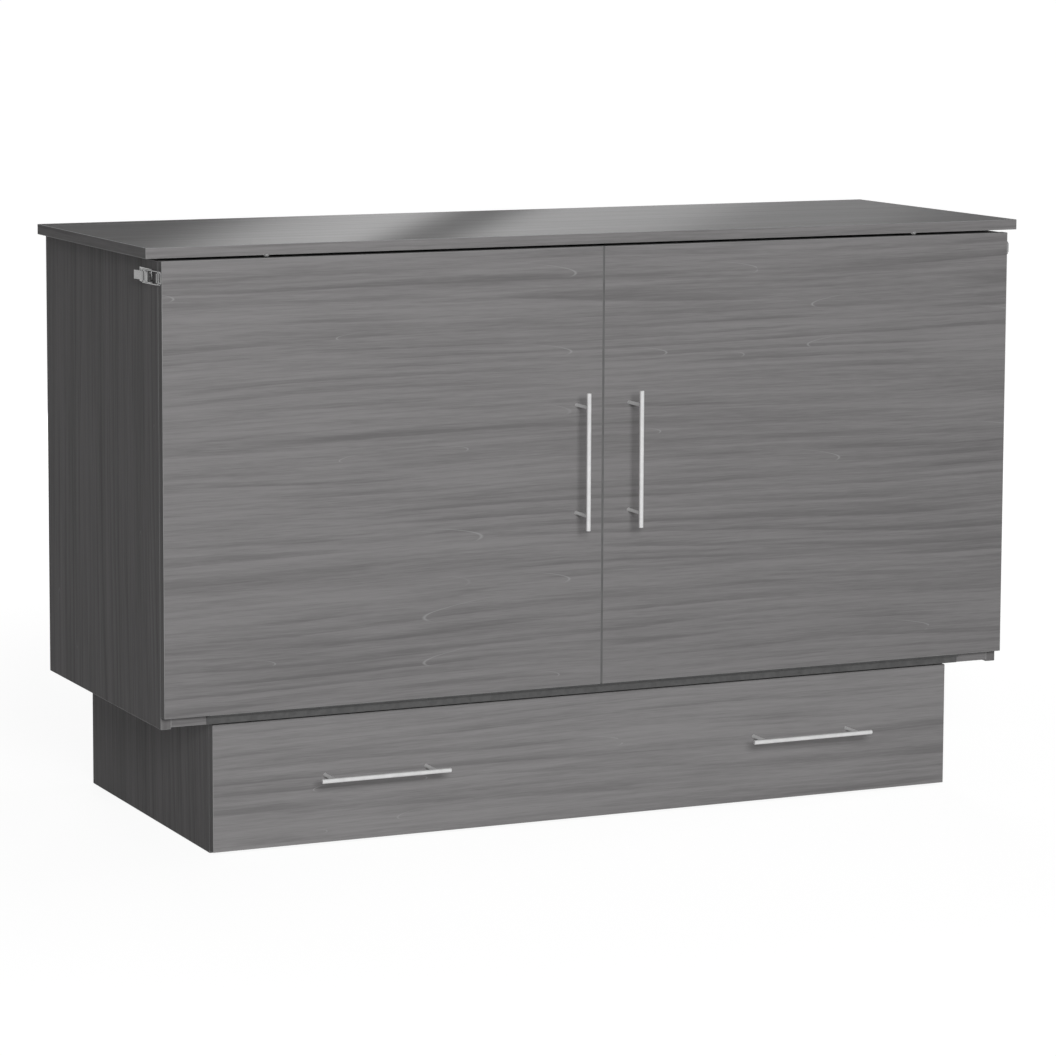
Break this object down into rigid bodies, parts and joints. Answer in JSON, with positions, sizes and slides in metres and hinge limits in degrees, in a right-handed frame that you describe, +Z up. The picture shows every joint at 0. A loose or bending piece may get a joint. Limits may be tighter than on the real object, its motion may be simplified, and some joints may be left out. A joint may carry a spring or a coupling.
{
  "type": "cabinet bed",
  "caption": "Closed cabinet with a tipping lid, a latched fold-down front that carries a sliding slatted deck on folding legs, a folded mattress and a base drawer.",
  "frame": {"origin": "on the floor, under the middle of the box round the closed object", "axes": "+Z up, the front with the pulls faces -Y, +X to the viewer's right"},
  "size_m": [1.648, 0.7024, 1.023],
  "materials": {
    "woodgrain": "grey woodgrain laminate, satin",
    "grey_board": "plain grey laminate, satin",
    "slat_wood": "planed softwood, unvarnished",
    "mattress_cover": "knitted cover",
    "hinge_steel": "grey coated steel",
    "satin_bar": "satin nickel",
    "latch_nickel": "bright nickel",
    "clear_bumper": "clear soft plastic",
    "leg_rubber": "black rubber"
  },
  "bodies": {
    "cabinet": {"side_left": "woodgrain", "side_right": "woodgrain", "cabinet_floor": "grey_board", "back_panel": "grey_board", "top_rail": "grey_board", "base_side_left": "woodgrain", "base_side_right": "woodgrain", "base_back": "grey_board", "base_rail_front": "grey_board", "base_rail_rear": "grey_board", "head_slats": "slat_wood", "mattress_foot": "mattress_cover", "mattress_middle": "mattress_cover", "mattress_head": "mattress_cover", "front_hinge_leaf": "hinge_steel", "front_hinge_pin": "hinge_steel", "lid_hinge_leaf": "hinge_steel", "lid_hinge_pin": "hinge_steel", "runner_fixed_left": "hinge_steel", "runner_fixed_right": "hinge_steel", "latch_base_left": "latch_nickel", "latch_base_right": "latch_nickel", "latch_pin_left": "latch_nickel", "latch_pin_right": "latch_nickel", "latch_rivets": "latch_nickel"},
    "lid": {"lid": "woodgrain", "lid_bumpers": "clear_bumper", "lid_hinge_flap": "hinge_steel"},
    "front": {"front_panel": "woodgrain", "deck_slats_fixed": "slat_wood", "keeper_strap": "hinge_steel", "front_hinge_flap": "hinge_steel", "front_pull_left": "satin_bar", "front_pull_right": "satin_bar", "latch_keeper_left": "latch_nickel", "latch_keeper_right": "latch_nickel", "keeper_screws": "latch_nickel"},
    "foot_deck": {"deck_slats_moving": "slat_wood", "foot_rail": "slat_wood", "leg_pin_left": "hinge_steel", "leg_pin_right": "hinge_steel"},
    "foot_leg_left": {"foot_leg_left": "slat_wood", "leg_pad_left": "leg_rubber"},
    "foot_leg_right": {"foot_leg_right": "slat_wood", "leg_pad_right": "leg_rubber"},
    "drawer": {"drawer_front": "woodgrain", "drawer_side_left": "grey_board", "drawer_side_right": "grey_board", "drawer_back": "grey_board", "drawer_bottom": "grey_board", "drawer_pull_left": "satin_bar", "drawer_pull_right": "satin_bar", "runner_slide_left": "hinge_steel", "runner_slide_right": "hinge_steel"},
    "latch_lever_left": {"latch_lever_left": "latch_nickel"},
    "latch_lever_right": {"latch_lever_right": "latch_nickel"},
    "latch_loop_left": {"latch_loop_left": "latch_nickel"},
    "latch_loop_right": {"latch_loop_right": "latch_nickel"}
  },
  "joints": [
    {"name": "lid_hinge", "type": "hinge", "parent": "cabinet", "child": "lid", "pos_m": [0, 0.27875, 1.0025], "axis": [-1, 0, 0], "range_deg": [0, 100]},
    {"name": "front_fold", "type": "hinge", "parent": "cabinet", "child": "front", "pos_m": [0, -0.28475, 0.24], "axis": [1, 0, 0], "range_deg": [0, 90]},
    {"name": "foot_slide", "type": "slide", "parent": "front", "child": "foot_deck", "axis": [0, 0, 1], "range_m": [0, 0.61]},
    {"name": "leg_left_swing", "type": "hinge", "parent": "foot_deck", "child": "foot_leg_left", "pos_m": [-0.712, -0.26625, 0.92], "axis": [0, 0, -1], "range_deg": [0, 103]},
    {"name": "leg_right_swing", "type": "hinge", "parent": "foot_deck", "child": "foot_leg_right", "pos_m": [0.712, -0.26625, 0.92], "axis": [0, 0, 1], "range_deg": [0, 103]},
    {"name": "drawer_slide", "type": "slide", "parent": "cabinet", "child": "drawer", "axis": [0, -1, 0], "range_m": [0, 0.265]},
    {"name": "latch_left", "type": "hinge", "parent": "cabinet", "child": "latch_lever_left", "pos_m": [-0.8065, -0.24675, 0.973], "axis": [0, 0, 1], "range_deg": [0, 100]},
    {"name": "latch_loop_left_swing", "type": "hinge", "parent": "latch_lever_left", "child": "latch_loop_left", "pos_m": [-0.8095, -0.23275, 0.973], "axis": [0, 0, 1], "range_deg": [-90.5, 0]},
    {"name": "latch_right", "type": "hinge", "parent": "cabinet", "child": "latch_lever_right", "pos_m": [0.8065, -0.24675, 0.973], "axis": [0, 0, -1], "range_deg": [0, 100]},
    {"name": "latch_loop_right_swing", "type": "hinge", "parent": "latch_lever_right", "child": "latch_loop_right", "pos_m": [0.8095, -0.23275, 0.973], "axis": [0, 0, -1], "range_deg": [-90.5, 0]}
  ],
  "couplings": [
    {"joint": "foot_slide", "follows": "front_fold", "m_per_rad": 0.3883},
    {"joint": "leg_left_swing", "follows": "front_fold", "ratio": 1.1444},
    {"joint": "leg_right_swing", "follows": "front_fold", "ratio": 1.1444},
    {"joint": "latch_loop_left_swing", "follows": "latch_left", "ratio": -0.9},
    {"joint": "latch_loop_right_swing", "follows": "latch_right", "ratio": -0.9}
  ]
}
